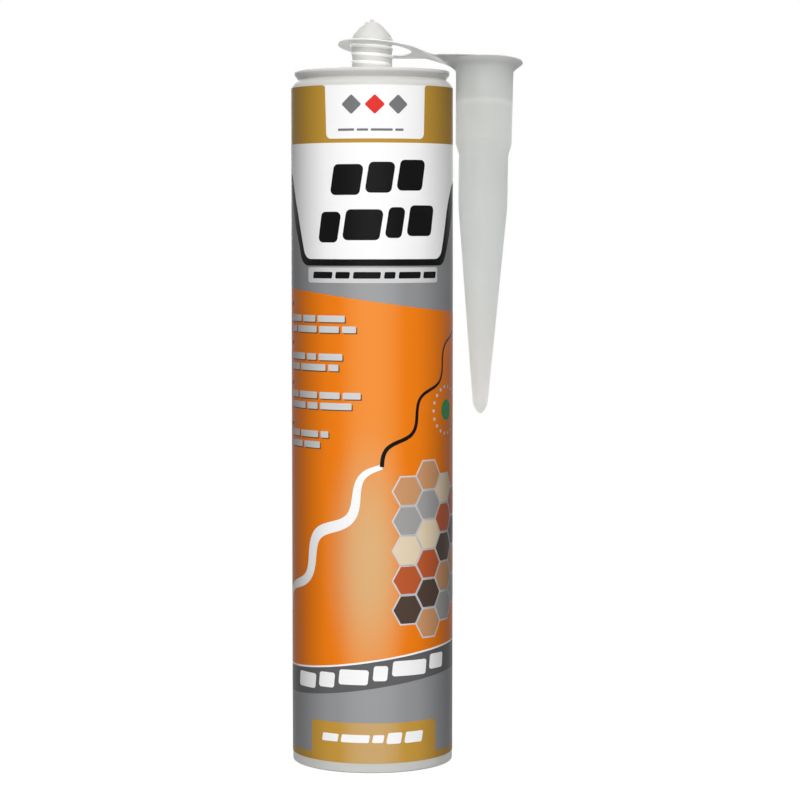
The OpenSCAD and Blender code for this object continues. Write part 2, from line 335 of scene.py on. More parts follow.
class Board:
    """A node tree in which a node is made, set and wired in one call."""

    def __init__(self, tree):
        self.nodes, self.link = tree.nodes, tree.links.new

    def wire(self, node, inputs):
        """Sets inputs, by name or number, to values or links them to sockets."""
        for key, value in inputs.items():
            if isinstance(value, bpy.types.NodeSocket):
                self.link(value, node.inputs[key])
            else:
                node.inputs[key].default_value = value
        return node

    def add(self, kind, inputs=None, **values):
        """A new node with its settings and its inputs."""
        node = self.nodes.new(kind)
        for key, value in values.items():
            setattr(node, key, value)
        return self.wire(node, inputs or {})

    def maths(self, operation, *terms):
        """Output of a maths node on sockets or numbers."""
        return self.add("ShaderNodeMath", dict(enumerate(terms)), operation=operation).outputs[0]

    def vectors(self, operation, *terms):
        """Outputs of a vector maths node on sockets or vectors."""
        return self.add("ShaderNodeVectorMath", dict(enumerate(terms)), operation=operation).outputs

    def spread(self, value, source, target=(0, 1), **values):
        """Maps a range of a value to another range."""
        low, high = source
        inputs = {"Value": value, "From Min": low, "From Max": high, "To Min": target[0], "To Max": target[1]}
        return self.add("ShaderNodeMapRange", inputs, **values).outputs["Result"]

    def mixed(self, factor, first, second):
        """Mix of two linear colours or sockets."""
        return self.add("ShaderNodeMix", {"Factor": factor, 6: first, 7: second}, data_type="RGBA").outputs[2]

    def place(self):
        return self.add("ShaderNodeTexCoord").outputs["Object"]

    def blend(self, factor, first, second):
        """Gives the material a mix of two shaders."""
        mix = self.add("ShaderNodeMixShader", {"Fac": factor, 1: first.outputs[0], 2: second.outputs[0]})
        self.wire(self.nodes["Material Output"], {"Surface": mix.outputs[0]})

    def grain(self, shader, scale, depth, roughness, change):
        """Fine moulded texture: noise bump, and a little variation in roughness; returns the place and the noise."""
        place = self.place()
        noise = self.add("ShaderNodeTexNoise", {"Scale": scale, "Detail": 4, "Vector": place}).outputs["Fac"]
        bump = self.add("ShaderNodeBump", {"Strength": 0.35, "Distance": depth, "Height": noise})
        rough = self.spread(noise, (0, 1), (roughness - change, roughness + change))
        self.wire(shader, {"Normal": bump.outputs["Normal"], "Roughness": rough})
        return place, noise

    def clouded(self, place, tone, darkest, inputs):
        """Colour that drifts in soft clouds to a share of itself."""
        clouds = self.add("ShaderNodeTexNoise", {"Vector": place, **inputs}).outputs["Fac"]
        return self.mixed(clouds, linear(tone), linear(tuple(c * darkest for c in tone)))


def new_material(name):
    """A material, the board of its nodes and its principled shader."""
    material = bpy.data.materials.new(name)
    material.use_nodes = True
    board = Board(material.node_tree)
    return material, board, board.nodes["Principled BSDF"]


def plain_material(name, tone, *grain):
    """Dull plastic or paste of one colour."""
    material, board, shader = new_material(name)
    board.grain(shader, *grain)
    board.wire(shader, {"Base Color": linear(tone)})
    return material


def tube_plastic():
    """Satin white polyethylene with faint flow clouds."""
    material, board, shader = new_material("tube_plastic")
    place, _ = board.grain(shader, 900, 0.00003, 0.42, 0.06)
    board.wire(shader, {
        "Base Color": board.clouded(place, settings("tube").plastic, 0.985, {"Scale": 45}),
        "Specular IOR Level": 0.25, "Subsurface Weight": 0.4, "Subsurface Radius": (0.001, 0.00095, 0.0009),
        "Subsurface Scale": 1.0,
    })
    return material


# Painted light and shade along the nozzle's plastic, in place of the light through its wall and backing, which change
# along it, from 3 mm above its mouth to 57 mm below: painted shade at the flange and a painted light ring at the
# socket's shoulder
PAINTED_LIGHT_FROM, PAINTED_LIGHT_TO = -0.003, 0.057
NOZZLE_PAINTED_LIGHT = (
    (0.055, 1), (0.08, 0.74), (0.16, 0.825), (0.255, 0.885), (0.275, 0.98), (0.3, 0.925), (0.48, 0.94),
    (0.63, 0.922), (0.95, 0.945),
)


def nozzle_plastic():
    """Milky translucent polyethylene: cloudy, light passes through the walls below its mouth; painted light and shade
    change its tone along its length.
    """
    material, board, shader = new_material("nozzle_plastic")
    place, _ = board.grain(shader, 700, 0.00004, 0.34, 0.06)
    milk = board.clouded(place, settings("nozzle").plastic, 0.98, {"Scale": 60, "Detail": 3})
    hang = hang_matrix(settings("nozzle"))
    down = -(hang.to_3x3() @ Vector((0, 0, 1)))
    along = board.vectors("DOT_PRODUCT", place, down)["Value"]
    mouth = down.dot(hang.translation) * MM
    # painted light and shade along the nozzle's axis, for its colour and for the light through its walls
    painted_light_ramp = board.add("ShaderNodeValToRGB", {"Fac": board.spread(along, (mouth + PAINTED_LIGHT_FROM, mouth + PAINTED_LIGHT_TO))})
    stops = painted_light_ramp.color_ramp.elements
    for k, (position, share) in enumerate(NOZZLE_PAINTED_LIGHT):
        stop = stops[k] if k < 2 else stops.new(position)
        stop.position = position
        stop.color = (share, share, share, 1)
    tone = board.vectors("MULTIPLY", milk, painted_light_ramp.outputs["Color"])[0]
    board.wire(shader, {"Base Color": tone})
    through = board.add("ShaderNodeBsdfTranslucent", {"Color": tone})
    board.blend(board.spread(along, (mouth, mouth + 0.002), (0, 0.9)), shader, through)
    return material


def ink_shader(name, side, highlight_share, highlight_tint=(1.0, 1.0, 1.0, 1.0)):
    """Printed film, its ink darkened towards the sides by painted shade and lightened at the front and back by a
    painted highlight; returns the board, the place and a taker of the tone.
    """
    material, board, shader = new_material("label_" + name)
    place, noise = board.grain(shader, 420, 0.00002, 0.4, 0.04)
    facing = board.maths("ABSOLUTE", board.add("ShaderNodeSeparateXYZ", {0: place}).outputs["Y"])
    radius = LABEL_BOX[1].x
    painted_shade = board.spread(facing, (PAINTED_SHADE_FROM * radius, PAINTED_SHADE_TO * radius), (side, 1))
    highlight_ends = (HIGHLIGHT_FROM * radius, HIGHLIGHT_TO * radius)
    painted_highlight = board.spread(facing, highlight_ends, (0, highlight_share), interpolation_type="SMOOTHSTEP")
    strength = board.maths("MULTIPLY", painted_shade, board.maths("MULTIPLY_ADD", noise, -0.012, 1.006))

    def finish(tone):
        shade = board.add("ShaderNodeVectorMath", {0: tone, "Scale": strength}, operation="SCALE").outputs[0]
        board.wire(shader, {"Base Color": board.mixed(painted_highlight, shade, highlight_tint), "Specular IOR Level": 0.05})
        return material

    return board, place, finish


def ink_material(name, base, side=0.5, highlight_share=0.0):
    """Printed film of one ink, with painted shade at the sides and a painted highlight at the front and back."""
    *_, finish = ink_shader(name, side, highlight_share)
    return finish(linear(base)[:3])


def orange_ink():
    """Main field: orange, with a soft pale glow low in the middle."""
    label = settings("label")
    # the painted highlight on the orange is pale yellow
    board, place, finish = ink_shader("orange", 0.5, 0.13, linear(rgb(255, 229, 150)))
    inputs = {"Vector": place, "Location": GLOW_PLACE, "Scale": GLOW_HALF}
    centre = board.add("ShaderNodeMapping", inputs, vector_type="TEXTURE").outputs["Vector"]
    size = board.vectors("LENGTH", centre)["Value"]
    glow = board.spread(size, (1.25, 0.15), interpolation_type="SMOOTHSTEP")
    return finish(board.mixed(glow, linear(label.orange), linear(label.glow)))


# Operators

class CARTRIDGE_OT_tube(bpy.types.Operator):
    """Moulded tube with its beaded head, threaded neck and closed dome"""

    bl_idname = "cartridge.tube"
    bl_label = "Tube"

    def execute(self, context):
        s = settings("tube")
        radius, bore, lead_bore, lead, head, shoulder, neck, thread = sizes(
            s, "radius", "bore", "lead_bore", "lead", "head", "shoulder", "neck", "thread")
        bead_r, groove_r, neck_top, dome_top, channel, nib = sizes(
            s, "bead_radius", "groove_radius", "neck_top", "dome_top", "channel", "nib")
        groove_z, roof, throat = head - mm(s, "bead"), head - mm(s, "head_wall"), groove_r - THROAT_IN
        dome_foot, dome_z, nib_h, flat = neck - 0.15, neck_top + 0.6, 0.9, 2.1
        bulge = (0.985 * dome_foot, dome_z + 0.32 * (dome_top - dome_z))
        dome = [
            ((1 - t) ** 2 * dome_foot + 2 * t * (1 - t) * bulge[0] + t * t * flat,
             (1 - t) ** 2 * dome_z + 2 * t * (1 - t) * bulge[1] + t * t * dome_top)
            for t in (k / 10 for k in range(11))
        ]
        profile = [
            (lead_bore, 0), *arc(radius - 0.5, 0.5, 0.5, -90, 0), *((radius, z * radius) for z in (1, 3, 5, 7)),
            *arc(radius - shoulder, groove_z - shoulder, shoulder, 0, 62, 14),
            *arc(groove_r + 0.25, groove_z - 0.05, 0.25, 250, 180, 4),
            *arc(groove_r + 0.25, groove_z + 0.15, 0.25, 180, 110, 4),
            *arc(bead_r - 0.8, head - 0.8, 0.8, -28, 90, 12), *arc(thread + 0.75, head + 0.8, 0.8, -90, -180, 8),
            (neck, head + 1.4), (neck, dome_z - 0.9), *arc(neck - 0.2, dome_z - 0.5, 0.4, 0, 70, 4), *dome,
            (nib + 0.15, dome_top + 0.02), (nib, dome_top + 0.15),
            *arc(nib - 0.25, dome_top + nib_h - 0.25, 0.25, 0, 90, 5), (0, dome_top + nib_h),
            # the inside, from the dome down to the lead-in
            (0, dome_top - 1.8), (1.05, dome_top - 1.8), (channel, neck_top), (channel, roof + 0.5),
            (channel + 0.5, roof), (throat - 0.6, roof), (throat, roof - 0.6), (bore, roof - TAPER_H),
            (bore, lead + 0.4), (lead_bore, lead),
        ]
        shell = mesh_object("tube_shell", *revolved(profile, TURN_STEPS))
        dress(shell, tube_plastic(), "tube", "tube_plastic", "barrel")
        return {"FINISHED"}


def thread_tree():
    """Node tree that sweeps a rounded rib along a helix, thinner at both ends; returns its inputs' identifiers too."""
    tree = bpy.data.node_groups.new("thread", "GeometryNodeTree")
    kinds = {"Turns": "Float", "Radius": "Float", "Pitch": "Float", "Rib": "Float", "Foot": "Vector"}
    sockets = {}
    for name, kind in kinds.items():
        made = tree.interface.new_socket(name=name, in_out="INPUT", socket_type="NodeSocket" + kind)
        sockets[name] = made.identifier
    tree.interface.new_socket(name="Geometry", in_out="OUTPUT", socket_type="NodeSocketGeometry")
    board = Board(tree)
    given = board.add("NodeGroupInput").outputs
    spiral = board.add("GeometryNodeCurveSpiral", {
        "Resolution": 72, "Rotations": given["Turns"], "Start Radius": given["Radius"], "End Radius": given["Radius"],
        "Height": board.maths("MULTIPLY", given["Turns"], given["Pitch"]),
    })
    factor = board.add("GeometryNodeSplineParameter").outputs["Factor"]
    taper = board.spread(board.maths("PINGPONG", factor, 0.5), (0, 0.06), (0.35, 1))
    section = board.add("GeometryNodeCurvePrimitiveCircle", {"Resolution": 14, "Radius": 1.0})
    sweep = board.add("GeometryNodeCurveToMesh", {
        "Curve": spiral.outputs["Curve"], "Profile Curve": section.outputs["Curve"],
        "Scale": board.maths("MULTIPLY", taper, given["Rib"]), "Fill Caps": True,
    })
    moved = board.add("GeometryNodeTransform", {"Geometry": sweep.outputs["Mesh"], "Translation": given["Foot"]})
    board.add("NodeGroupOutput", {"Geometry": moved.outputs["Geometry"]})
    return tree, sockets


def add_thread(name, turns, radius, pitch, rib, foot, body, slot, matrix=Matrix.Identity(4)):
    """A helical rib of a body's own plastic, made by the thread tree; sizes in millimetres."""
    tree, sockets = thread_tree()
    obj = placed(name, bpy.data.meshes.new(name))
    modifier = obj.modifiers.new("thread", "NODES")
    modifier.node_group = tree
    values = {
        "Turns": turns, "Radius": radius * MM, "Pitch": pitch * MM, "Rib": rib * MM, "Foot": [c * MM for c in foot],
    }
    for key, value in values.items():
        modifier[sockets[key]] = value
    plain_mesh(obj)
    obj.data.transform(Matrix.Translation(matrix.translation * MM) @ matrix.to_3x3().to_4x4())
    bm = bmesh.new()
    bm.from_mesh(obj.data)
    fill(obj.data, bm)
    dress(obj, bpy.data.materials[slot], body, slot, sharp=60)


class CARTRIDGE_OT_neck_thread(bpy.types.Operator):
    """Helical thread on the neck"""

    bl_idname = "cartridge.neck_thread"
    bl_label = "Neck thread"

    def execute(self, context):
        s = settings("tube")
        rib, pitch, turns = mm(s, "thread_rib"), mm(s, "pitch"), s.thread_turns
        foot = (0, 0, mm(s, "head") + 1.75)
        add_thread("neck_thread", turns, mm(s, "thread") - rib, pitch, rib, foot, "tube", "tube_plastic")
        return {"FINISHED"}


# Label; the names of its inks and of their materials begin with label_

LABEL_R = LABEL_BOX[1].x / MM                     # outside of the film, mm
FILM_R = LABEL_R - INK_LAYERS * INK_T             # face of the bare film, below the layers of ink
LABEL_LOW, LABEL_HIGH = LABEL_BOX[0].z / MM, LABEL_BOX[1].z / MM
STEP = math.tau / TURN_STEPS


def across(degrees):
    """Distance along the film, in mm, of a place that many degrees right of the front."""
    return LABEL_R * math.radians(degrees)


def wrapped(s, z, radius):
    """Place on the film, in mm, of flat (s, z) at a radius."""
    a = s / LABEL_R
    return (radius * math.sin(a), -radius * math.cos(a), z)


def ink(name, material, outlines, layer):
    """One ink: closed solids of flat (s, z) outlines, cut into narrow strips and wrapped on the film."""
    name = "label_" + name
    shapes = [[[Vector((s, z, 0)) for s, z in outline]] for outline in outlines]
    bm, top = thick_sheet(shapes, Vector((1, 0, 0)), STEP * LABEL_R, 1e-6)
    base = FILM_R + (layer - 1) * INK_T
    for vert in top:
        vert.co.z = INK_T
    for vert in bm.verts:
        vert.co = Vector(wrapped(vert.co.x, vert.co.y, base + vert.co.z)) * MM
    dress(placed(name, fill(bpy.data.meshes.new(name), bm)), material, "tube", "label_film")


def band_solid(name, low, high, inner, outer):
    """Closed ring of film between two heights that may vary with the angle, in mm."""
    verts, faces = [], []
    for k in range(TURN_STEPS):
        a = -math.pi + k * STEP
        for r, z in ((inner, low(a)), (outer, low(a)), (outer, high(a)), (inner, high(a))):
            verts.append((r * math.sin(a), -r * math.cos(a), z))
    for k in range(TURN_STEPS):
        i, j = 4 * k, 4 * ((k + 1) % TURN_STEPS)
        for c in range(4):
            d = (c + 1) % 4
            faces.append((i + c, i + d, j + d, j + c))
    return mesh_object(name, verts, faces)


def band(name, material, low, high, layer=1):
    """One ink that runs all round the film."""
    base = FILM_R + (layer - 1) * INK_T
    dress(band_solid("label_" + name, low, high, base, base + INK_T), material, "tube", "label_film")


def level(z):
    return lambda a: z


def field_edge(a):
    """Lower edge of the grey field, which falls to the right."""
    return 142.7 - 3.6 * math.sin(a)


RIBBON_H = 8.6
RIBBON_LINE = 0.55


def ribbon_top(a):
    """Top edge of the ribbon, which rises to the right."""
    return 34.4 + 3.7 * math.sin(a)


def ribbon_foot(a):
    return ribbon_top(a) - RIBBON_H


def film_inks(*names):
    """Ink materials that are there already."""
    return [bpy.data.materials["label_" + name] for name in names]


def rounded_box(s0, z0, s1, z1, radius, slant=0.0):
    """Rounded box on the film; slant moves its top to the right."""
    shift = slant * (z1 - z0)
    return softened([(s0, z0, radius), (s1, z0, radius), (s1 + shift, z1, radius), (s0 + shift, z1, radius)], 4)


def word_row(s0, z0, height, widths, gap, slant=0.0, radius=0.3, follow=None):
    """A row of plain blocks that stands for a line of words."""
    blocks, s = [], s0
    for width in widths:
        lift = follow(s + width / 2) if follow else 0
        blocks.append(rounded_box(s, z0 + lift, s + width, z0 + height + lift, radius, slant))
        s += width + gap
    return blocks


def panel_outline(places):
    """Outline of (degrees right of the front, height, corner radius) places on the film."""
    return softened([(across(a), z, r) for a, z, r in places], 8)


# Blocks that stand for words: distance right of the front, height, in some the blocks' own height, widths; all in mm
TITLE_ROWS = ((-13.2, 175.0, (9.4, 8.0, 8.6)), (-17.6, 161.2, (6.8, 11.4, 5.2, 9.0)))
TITLE_RISE = 0.065
PLAQUE_ROW = (-19.8, 149.5, 2.0, (7.2, 4.6, 8.3, 3.4, 7.4, 5.2))
BULLETS_LEFT = -33.4
BULLETS = (
    (136.4, (7.6, 5.9, 9.6), (4.3, 9.8, 7.1, 4.4)), (124.9, (9.6, 4.2, 8.5), (6.3, 11.2, 3.5)),
    (113.3, (5.4, 8.8, 7.2, 5.6), (9.8, 4.6, 10.8)), (101.5, (6.2, 8.4, 2.9), (8.1, 7.2)),
)
TICKS = (141.0, 129.2, 116.9, 104.4)
RIBBON_ROW = (-27.5, 2.0 - RIBBON_H, 4.6, (8.3, 5.6, 9.2, 4.4, 11.6, 6.4))
FOOT_ROWS = ((-16.5, 9.3, 2.4, (5.6, 8.8, 3.4)), (4.2, 8.9, 3.4, (4.6, 6.2)))
TAB_ROW = (-10.4, 193.5, 0.7, (5.1, 3.4, 6.6, 2.6))
BANDS_MEET = 190            # height where the gold top band meets the grey field
FOOT_BAND = 5.2             # top of the gold band at the foot

# The title panel: straight foot, sides that draw in towards it; the white meets its black outline high on the sides
PANEL_WHITE = (
    (-93, 190, 0), (-90, 184.5, 4), (-77, 181.4, 8), (-70.8, 175.9, 12), (-63.8, 168.5, 20), (-57.3, 160.4, 20),
    (-53.6, 155.3, 3.6), (55.8, 155.3, 3.6), (59.5, 160.4, 20), (66.4, 171.5, 20), (76, 178, 8), (90, 180, 4),
    (93, 190, 0),
)
PANEL_BLACK = (
    (-80, 181.0, 0), (-77.5, 175, 12), (-69.2, 165.5, 20), (-62.4, 159.6, 8), (-57.6, 153.3, 4.4),
    (59.6, 153.3, 4.4), (64.8, 157.6, 8), (70.4, 162.5, 20), (77.8, 169.5, 12), (83, 178.0, 0),
)


def wave_band(points, width):
    """Outline of a smooth band of varying width along points."""
    left, right = [], []
    for i, p in enumerate(points):
        ahead = points[min(i + 1, len(points) - 1)] - points[max(i - 1, 0)]
        normal = Vector((-ahead.y, ahead.x)).normalized() * width(i / (len(points) - 1)) / 2
        left.append(p + normal)
        right.append(p - normal)
    return left + right[::-1]


def wave_line(s0, z0, s1, z1, swell, turns, steps=60):
    """Points of a sine that rides on the straight line between two places."""
    a, b = Vector((s0, z0)), Vector((s1, z1))
    normal = Vector((-(b - a).y, (b - a).x)).normalized()
    shares = [k / steps for k in range(steps + 1)]
    return [a + (b - a) * t + normal * swell * math.sin(math.tau * turns * t) for t in shares]


class CARTRIDGE_OT_label(bpy.types.Operator):
    """Printed film: the bare film, the fields of ink, the title panel and the ribbon"""

    bl_idname = "cartridge.label"
    bl_label = "Label"

    def execute(self, context):
        s = settings("label")
        # after an ink's colour come the share of it left at the sides by painted shade, then the strength of its
        # painted highlight at the front and back
        white = ink_material("white", s.white, 0.66)
        film = band_solid("label_film", level(LABEL_LOW), level(LABEL_HIGH), LABEL_R - FILM_T, FILM_R)
        dress(film, white, "tube", "label_film", "label")
        gold = ink_material("gold", s.gold)
        band("gold_top", gold, level(BANDS_MEET), level(LABEL_HIGH))
        band("gold_foot", gold, level(LABEL_LOW), level(FOOT_BAND))
        band("grey", ink_material("grey", s.grey, 0.52, 0.1), field_edge, level(BANDS_MEET))
        band("orange", orange_ink(), ribbon_top, field_edge)
        low_grey = ink_material("low_grey", s.low_grey, 0.52, 0.06)
        band("low_grey", low_grey, level(FOOT_BAND), ribbon_foot)
        band("ribbon", ink_material("ribbon", s.ribbon), ribbon_foot, ribbon_top)
        band("ribbon_line", white, lambda a: ribbon_top(a) - RIBBON_LINE, ribbon_top, 2)
        black = ink_material("black", s.black)
        pale = ink_material("pale", rgb(214, 214, 215))
        ink("panel_black", black, [panel_outline(PANEL_BLACK)], 3)
        tab = softened([
            (-14.4, 191.2, 1.6), (16.8, 191.2, 1.6), (17.2, LABEL_HIGH - 0.05, 0.9), (18.8, LABEL_HIGH, 0),
            (-16.4, LABEL_HIGH, 0), (-14.9, LABEL_HIGH - 0.05, 0.9),
        ])
        ink("white_fields", white, [panel_outline(PANEL_WHITE), tab], 4)
        ink("plaque", pale, [rounded_box(-22.0, 148.2, 22.8, 152.8, 0.8)], 2)
        # painted highlight at the front and back of the plaque's gold
        plaque_gold = ink_material("plaque_gold", s.plaque_gold, highlight_share=0.12)
        plaque = [(-20.8, LABEL_LOW, 0), (22.0, LABEL_LOW, 0), (22.0, 15.3, 1.6), (-20.8, 15.3, 1.6)]
        ink("gold_plaque", plaque_gold, [softened(plaque)], 2)
        return {"FINISHED"}


class CARTRIDGE_OT_label_words(bpy.types.Operator):
    """Plain blocks where the film has its lines of words"""

    bl_idname = "cartridge.label_words"
    bl_label = "Label words"

    def execute(self, context):
        white, black, pale = film_inks("white", "black", "pale")
        grey = ink_material("words", settings("label").words)
        title = []
        for left, low, widths in TITLE_ROWS:
            title += word_row(left, low, 9.2, widths, 1.6, 0.16, 1.5, lambda s: TITLE_RISE * s)
        rows, shadows = [], []
        for high, first, second in BULLETS:
            for low, widths in ((high, first), (high - 3.2, second)):
                rows += word_row(BULLETS_LEFT, low, 2.0, widths, 1.0)
                shadows += word_row(BULLETS_LEFT + 0.4, low - 0.35, 2.0, widths, 1.0)
        ink("bullet_shadows", ink_material("shadow", rgb(116, 78, 52)), shadows, 2)
        ink("bullets", pale, rows, 3)
        ink("ticks", black, [rounded_box(-34.6, z, -32.6, z + 1.2, 0.3, 0.5) for z in TICKS], 2)
        on_ribbon = word_row(*RIBBON_ROW, 1.5, 0.1, 0.8, lambda s: ribbon_top(s / LABEL_R))
        ink("ribbon_words", white, on_ribbon, 3)
        foot = word_row(*FOOT_ROWS[0], 1.0, 0.2, 0.4) + word_row(*FOOT_ROWS[1], 1.1, 0.2, 0.6)
        ink("foot_words", white, foot, 3)
        ink("title", black, title, 5)
        ink("plaque_words", black, word_row(*PLAQUE_ROW, 1.1, 0.15, 0.4), 3)
        ink("tab_line", grey, word_row(*TAB_ROW, 0.8, 0, 0.2), 5)
        return {"FINISHED"}


TILE_TONES = {
    "terracotta": rgb(189, 92, 52), "tan": rgb(206, 152, 108), "cream": rgb(233, 214, 184), "dark": rgb(82, 66, 58),
    "grey": rgb(165, 163, 162),
}


class CARTRIDGE_OT_label_motifs(bpy.types.Operator):
    """Plain motifs on the main field: two waves, a patch of tiles and a round seal"""

    bl_idname = "cartridge.label_motifs"
    bl_label = "Label motifs"

    def execute(self, context):
        white, black, pale, words = film_inks("white", "black", "pale", "words")
        low = wave_line(-36, 47, 3, 93, 2.6, 2.5)
        ink("white_wave", white, [wave_band(low, lambda t: 1.6 + 1.9 * math.sin(math.pi * min(1, t * 1.02)))], 2)
        high = wave_line(3, 93, 37, 139, 2.0, 3)
        ink("dark_wave", black, [wave_band(high, lambda t: 1.3 - 0.7 * t)], 3)
        self.tiles(pale)
        centre, height = across(65), 109.3
        green = ink_material("green", settings("label").green)
        ink("seal", green, [round_points(centre, height, 3.2, 30)], 3)
        red = ink_material("red", rgb(226, 52, 46))
        for name, material, places in (("red", red, (0.9,)), ("grey", words, (-6.2, 8.0))):
            ink("icon_" + name, material, [self.lozenge(x) for x in places], 5)
        dots = [round_points(x, z, 0.55, 8) for x, z in round_points(centre, height, 7.2, 18)]
        ink("seal_dots", pale, dots, 3)
        return {"FINISHED"}

    def lozenge(self, x, z=201.4, wide=3.1, high=3.0):
        return softened([(x - wide, z, 0.5), (x, z - high, 0.5), (x + wide, z, 0.5), (x, z + high, 0.5)])

    def tiles(self, pale):
        """A patch of hexagon tiles in an oval, on a ground that shows as their joints."""
        size, joint, left, low = 5.2, 0.8, 3.5, 45
        middle_x, middle_z, half_x, half_z = 23, 66, 17.5, 27
        groups = {name: [] for name in TILE_TONES}
        order = list(TILE_TONES)
        ground = []
        for column in range(6):
            for row in range(9):
                x = left + column * 1.5 * size
                z = low + (row + 0.5 * (column % 2)) * math.sqrt(3) * size
                if math.hypot((x - middle_x) / half_x, (z - middle_z) / half_z) > 1:
                    continue
                ground.append(round_points(x, z, size + 0.15, 6))
                groups[order[(column * 3 + row * 2) % 5]].append(round_points(x, z, size - joint / 2, 6))
        ink("tile_joints", pale, ground, 2)
        for name, tiles in groups.items():
            ink("tile_" + name, ink_material("tile_" + name, TILE_TONES[name]), tiles, 3)


class CARTRIDGE_OT_piston(bpy.types.Operator):
    """Finish of the piston"""

    bl_idname = "cartridge.piston"
    bl_label = "Piston"

    def execute(self, context):
        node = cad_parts["piston"]
        node.data.materials.clear()
        node.data.materials.append(plain_material("piston_plastic", rgb(222, 224, 226), 800, 0.00004, 0.5, 0.07))
        return {"FINISHED"}


class CARTRIDGE_OT_paste(bpy.types.Operator):
    """Paste in the tube and the plug of paste in the neck"""

    bl_idname = "cartridge.paste"
    bl_label = "Paste"

    def execute(self, context):
        t = settings("tube")
        gap, travel, column_h, crown_inset, crown_h = 0.05, 161.5, 162, 4.4, 3.6
        head, head_wall, groove_r, bore, dome_top = sizes(
            t, "head", "head_wall", "groove_radius", "bore", "dome_top")
        roof = head - head_wall
        foot = roof - column_h
        crown, rim = bore - crown_inset + gap, foot - crown_h + gap
        bore, throat = bore - gap, groove_r - THROAT_IN
        material = plain_material("paste", rgb(244, 243, 240), 160, 0.0002, 0.55, 0.05)
        column = [
            (0, foot), (crown - 1.2, foot), (crown, foot - 2.5), (crown + 1, rim), (bore, rim),
            (bore, roof - TAPER_H - gap), (throat - gap, roof - 0.65), (throat - 0.6, roof - gap), (0, roof - gap),
        ]
        obj = dress(mesh_object("paste_column", *revolved(column, 96)), material, "tube", "paste", "sealant")
        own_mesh(obj)
        channel = mm(t, "channel") - gap
        plug = [
            (0, roof - 0.02), (channel + 0.4, roof - 0.02), (channel, roof + 0.5), (channel, mm(t, "neck_top")),
            (1.0, dome_top - 1.9), (0, dome_top - 1.9),
        ]
        dress(mesh_object("paste_plug", *revolved(plug, 48)), material, "tube", "paste", "sealant")
        return {"FINISHED"}


BEND_AFTER = 2.1            # from the ring's hole to where the strap begins to bend, mm
FLAT_WITHIN = 2             # from the flange's edge to where the strap is flat again, mm
CUT_STEP = 0.6              # distance between the cuts across the strap, mm


def ring_matrix(s):
    """Places the frame of the ring and strap in the shared frame, in mm."""
    turned = Matrix.Rotation(s.lean, 4, "Y") @ Matrix.Rotation(-s.tilt, 4, "X")
    return Matrix.Translation((0, 0, mm(s, "ring_z"))) @ turned


def hang_matrix(s):
    """Places the nozzle's own frame, its mouth at the origin and its tip below, in the shared frame, in mm."""
    return ring_matrix(s) @ Matrix.Translation((mm(s, "mouth_x"), 0, -mm(s, "drop")))


def applicator_profile(s):
    """Closed outline of the nozzle: flange, skirt, spout, tip and the cavity inside."""
    flange, flange_t, skirt, skirt_l, socket, socket_l = sizes(
        s, "flange", "flange_t", "skirt", "skirt_l", "socket", "socket_l")
    spout, straight, tip, total, wall = sizes(s, "spout", "straight_l", "tip", "total", "wall")
    step_l, tip_l = 3.4, 4.4
    slope_z = -(skirt_l + step_l)
    cone_z = slope_z - straight
    tip_z = tip_l - total
    corners = [
        (socket + 0.5, 0, 0.12), (flange, 0, 0.2), (flange, -flange_t, 0.2),
        ((flange + skirt) / 2, -flange_t - 1.05, 1.6), (skirt, -flange_t - 2.3, 1.6),
        (skirt - 0.25, -skirt_l, 1.6), (spout, slope_z, 1.6), (spout - 0.1, cone_z, 20),
    ]
    points = []
    for k in range(13):
        a = math.radians(90 * k / 12)
        points.append((tip * math.cos(a) ** 1.4 if k < 12 else 0, tip_z - tip_l * math.sin(a), 0))
    inner = [
        (0, tip_z + wall, 0), (tip - wall * 0.8, tip_z + wall, 0.4), (spout - 0.1 - wall, cone_z, 20),
        (spout - wall, slope_z, 1), (spout - wall + 0.1, -socket_l - 0.8, 0.3), (socket, -socket_l, 0.2),
        (socket, -0.5, 0.1),
    ]
    return softened(corners + points + inner, 6)


def strap_height(s, run):
    """Height of the strap's middle above the ring's centre, in mm, by the distance along the bend's direction."""
    ring_x, hole, mouth, flange = sizes(s, "ring_x", "ring_hole", "mouth_x", "flange")
    slope, turn = math.tan(s.ring_slope), math.cos(s.bend_turn)
    ring_run = ring_x * turn
    bend_run, flat_run = ring_run + hole + BEND_AFTER, mouth * turn - flange + FLAT_WITHIN
    flat = -mm(s, "drop") - mm(s, "flange_t") / 2
    if run >= flat_run:
        return flat
    if run <= bend_run:
        return (ring_run - run) * slope
    span = flat_run - bend_run
    t = (run - bend_run) / span
    h0, h1, h2 = 2 * t ** 3 - 3 * t ** 2 + 1, t ** 3 - 2 * t ** 2 + t, -2 * t ** 3 + 3 * t ** 2
    return h0 * (ring_run - bend_run) * slope - h1 * span * slope + h2 * flat


def touch(centre, radius, point):
    """Angle, in degrees, at which a line from a point touches a circle on the X axis from above."""
    away = Vector((point.x - centre, point.y))
    return math.degrees(math.atan2(away.y, away.x) + math.acos(radius / away.length))


